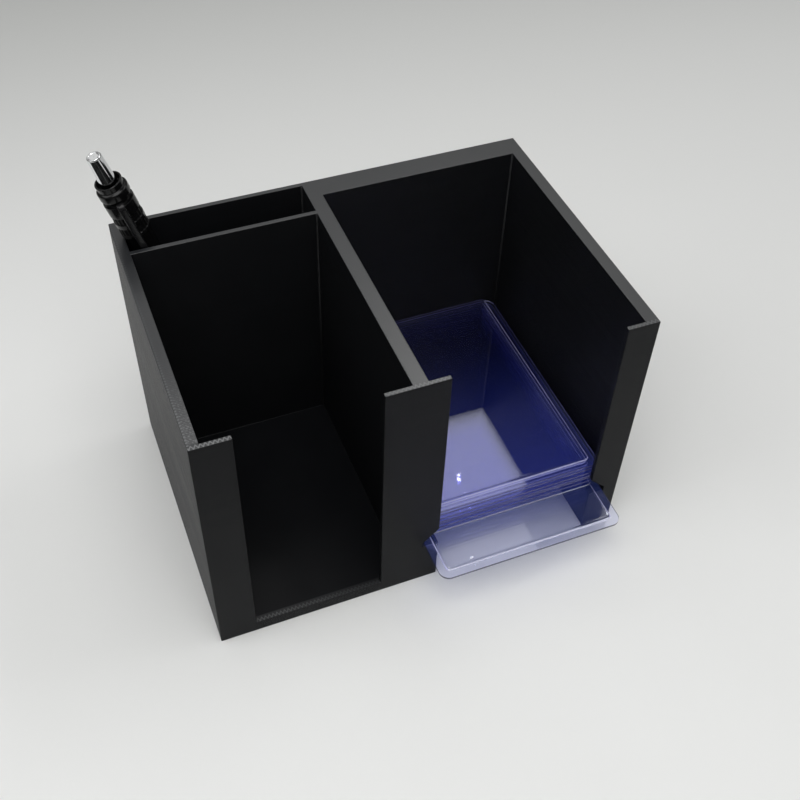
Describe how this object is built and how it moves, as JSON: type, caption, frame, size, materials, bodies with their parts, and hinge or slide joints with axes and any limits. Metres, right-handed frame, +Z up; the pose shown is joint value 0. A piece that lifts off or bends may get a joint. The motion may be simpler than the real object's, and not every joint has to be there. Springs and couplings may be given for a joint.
{
  "type": "trading card supply dispenser",
  "caption": "Printed two-bay desk dispenser for soft card sleeves and rigid toploaders. The lowest toploader slides out through a front slot, and a click pen stands behind.",
  "frame": {"origin": "middle of the printed holder's underside, on the surface that it stands on", "axes": "+X to the right, +Y to the back, +Z up; the open fronts of the bays face -Y"},
  "size_m": [0.1681, 0.1329, 0.1475],
  "materials": {
    "black_print": "matte, printed in layers",
    "clear_sheet": "clear, blue tint",
    "pen_black": "satin",
    "pen_black_metal": "satin",
    "pen_chrome": "polished",
    "pen_white": "plain",
    "pen_brass": "turned",
    "pen_steel": "wire"
  },
  "bodies": {
    "holder": {"printed_holder": "black_print"},
    "toploader_1": {"toploader_1_back_sheet": "clear_sheet", "toploader_1_front_sheet": "clear_sheet"},
    "toploader_2": {"toploader_2_back_sheet": "clear_sheet", "toploader_2_front_sheet": "clear_sheet"},
    "toploader_3": {"toploader_3_back_sheet": "clear_sheet", "toploader_3_front_sheet": "clear_sheet"},
    "toploader_4": {"toploader_4_back_sheet": "clear_sheet", "toploader_4_front_sheet": "clear_sheet"},
    "toploader_5": {"toploader_5_back_sheet": "clear_sheet", "toploader_5_front_sheet": "clear_sheet"},
    "toploader_6": {"toploader_6_back_sheet": "clear_sheet", "toploader_6_front_sheet": "clear_sheet"},
    "toploader_7": {"toploader_7_back_sheet": "clear_sheet", "toploader_7_front_sheet": "clear_sheet"},
    "toploader_8": {"toploader_8_back_sheet": "clear_sheet", "toploader_8_front_sheet": "clear_sheet"},
    "pen": {"pen_nose_cone": "pen_black_metal", "pen_grip": "pen_black", "pen_barrel": "pen_black", "pen_collar": "pen_black", "pen_clip": "pen_black_metal", "pen_spring": "pen_steel"},
    "pen_plunger": {"pen_button": "pen_chrome", "pen_cam": "pen_white", "pen_refill": "pen_white", "pen_point": "pen_brass"}
  },
  "joints": [
    {"name": "toploader_1_slide", "type": "slide", "parent": "holder", "child": "toploader_1", "axis": [0, -1, 0], "range_m": [-0.021, 0.09]},
    {"name": "toploader_2_lift", "type": "slide", "parent": "holder", "child": "toploader_2", "axis": [0, 0, 1], "range_m": [0, 0.0951]},
    {"name": "toploader_3_lift", "type": "slide", "parent": "toploader_2", "child": "toploader_3", "axis": [0, 0, 1], "range_m": [0, 0.0951]},
    {"name": "toploader_4_lift", "type": "slide", "parent": "toploader_3", "child": "toploader_4", "axis": [0, 0, 1], "range_m": [0, 0.0951]},
    {"name": "toploader_5_lift", "type": "slide", "parent": "toploader_4", "child": "toploader_5", "axis": [0, 0, 1], "range_m": [0, 0.0951]},
    {"name": "toploader_6_lift", "type": "slide", "parent": "toploader_5", "child": "toploader_6", "axis": [0, 0, 1], "range_m": [0, 0.0951]},
    {"name": "toploader_7_lift", "type": "slide", "parent": "toploader_6", "child": "toploader_7", "axis": [0, 0, 1], "range_m": [0, 0.0951]},
    {"name": "toploader_8_lift", "type": "slide", "parent": "toploader_7", "child": "toploader_8", "axis": [0, 0, 1], "range_m": [0, 0.0951]},
    {"name": "pen_lift", "type": "slide", "parent": "holder", "child": "pen", "axis": [-0.2756, 0, 0.9613], "range_m": [0, 0.115]},
    {"name": "pen_click", "type": "slide", "parent": "pen", "child": "pen_plunger", "axis": [0.2756, 0, -0.9613], "range_m": [0, 0.0032], "stiffness_N_per_m": 600, "springref_m": -0.002, "deforming": ["pen_spring"]}
  ]
}
